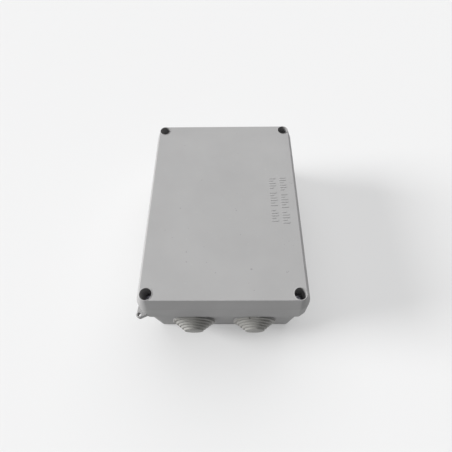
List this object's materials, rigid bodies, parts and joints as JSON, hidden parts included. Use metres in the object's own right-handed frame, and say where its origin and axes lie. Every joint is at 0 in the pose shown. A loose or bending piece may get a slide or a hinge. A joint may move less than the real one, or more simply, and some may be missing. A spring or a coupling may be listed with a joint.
{
  "type": "electrical junction box",
  "caption": "Surface-mounted plastic junction box with a deep screwed lid, a gasket, captive corner screws, stepped cable grommets and a diagonal pair of sealing ears.",
  "frame": {"origin": "centre of the back face, which lies on the wall", "axes": "+Z out of the lid, +X across the width, +Y along the length, so that -Y is the short side with the visible grommets"},
  "size_m": [0.1224, 0.1624, 0.0703],
  "materials": {
    "box_plastic": "fine-grained satin moulding",
    "grommet_rubber": "satin thermoplastic elastomer",
    "gasket_rubber": "matt",
    "screw_steel": "zinc plated",
    "retainer_nylon": "satin",
    "insert_brass": "machined"
  },
  "bodies": {
    "base": {"base_shell": "box_plastic", "threaded_insert_front_left": "insert_brass", "threaded_insert_front_right": "insert_brass", "threaded_insert_back_left": "insert_brass", "threaded_insert_back_right": "insert_brass", "grommet_front_left": "grommet_rubber", "grommet_front_right": "grommet_rubber", "grommet_back_left": "grommet_rubber", "grommet_back_right": "grommet_rubber", "grommet_left_front": "grommet_rubber", "grommet_left_middle": "grommet_rubber", "grommet_left_back": "grommet_rubber", "grommet_right_front": "grommet_rubber", "grommet_right_middle": "grommet_rubber", "grommet_right_back": "grommet_rubber"},
    "lid": {"lid": "box_plastic", "lid_gasket": "gasket_rubber"},
    "retainer_front_left": {"screw_retainer_front_left": "retainer_nylon"},
    "screw_front_left": {"lid_screw_front_left": "screw_steel"},
    "retainer_front_right": {"screw_retainer_front_right": "retainer_nylon"},
    "screw_front_right": {"lid_screw_front_right": "screw_steel"},
    "retainer_back_left": {"screw_retainer_back_left": "retainer_nylon"},
    "screw_back_left": {"lid_screw_back_left": "screw_steel"},
    "retainer_back_right": {"screw_retainer_back_right": "retainer_nylon"},
    "screw_back_right": {"lid_screw_back_right": "screw_steel"}
  },
  "joints": [
    {"name": "lid_lift", "type": "slide", "parent": "base", "child": "lid", "axis": [0, 0, 1], "range_m": [0, 0.06]},
    {"name": "screw_rise_front_left", "type": "slide", "parent": "lid", "child": "retainer_front_left", "axis": [0, 0, 1], "range_m": [0, 0.0056]},
    {"name": "screw_turn_front_left", "type": "hinge", "parent": "retainer_front_left", "child": "screw_front_left", "pos_m": [-0.0474, -0.0674, 0.0479], "axis": [0, 0, 1], "range_deg": [0, 2881]},
    {"name": "screw_rise_front_right", "type": "slide", "parent": "lid", "child": "retainer_front_right", "axis": [0, 0, 1], "range_m": [0, 0.0056]},
    {"name": "screw_turn_front_right", "type": "hinge", "parent": "retainer_front_right", "child": "screw_front_right", "pos_m": [0.0474, -0.0674, 0.0479], "axis": [0, 0, 1], "range_deg": [0, 2881]},
    {"name": "screw_rise_back_left", "type": "slide", "parent": "lid", "child": "retainer_back_left", "axis": [0, 0, 1], "range_m": [0, 0.0056]},
    {"name": "screw_turn_back_left", "type": "hinge", "parent": "retainer_back_left", "child": "screw_back_left", "pos_m": [-0.0474, 0.0674, 0.0479], "axis": [0, 0, 1], "range_deg": [0, 2881]},
    {"name": "screw_rise_back_right", "type": "slide", "parent": "lid", "child": "retainer_back_right", "axis": [0, 0, 1], "range_m": [0, 0.0056]},
    {"name": "screw_turn_back_right", "type": "hinge", "parent": "retainer_back_right", "child": "screw_back_right", "pos_m": [0.0474, 0.0674, 0.0479], "axis": [0, 0, 1], "range_deg": [0, 2881]}
  ],
  "couplings": [
    {"joint": "screw_turn_front_left", "follows": "screw_rise_front_left", "rad_per_m": 8976},
    {"joint": "screw_turn_front_right", "follows": "screw_rise_front_right", "rad_per_m": 8976},
    {"joint": "screw_turn_back_left", "follows": "screw_rise_back_left", "rad_per_m": 8976},
    {"joint": "screw_turn_back_right", "follows": "screw_rise_back_right", "rad_per_m": 8976}
  ]
}
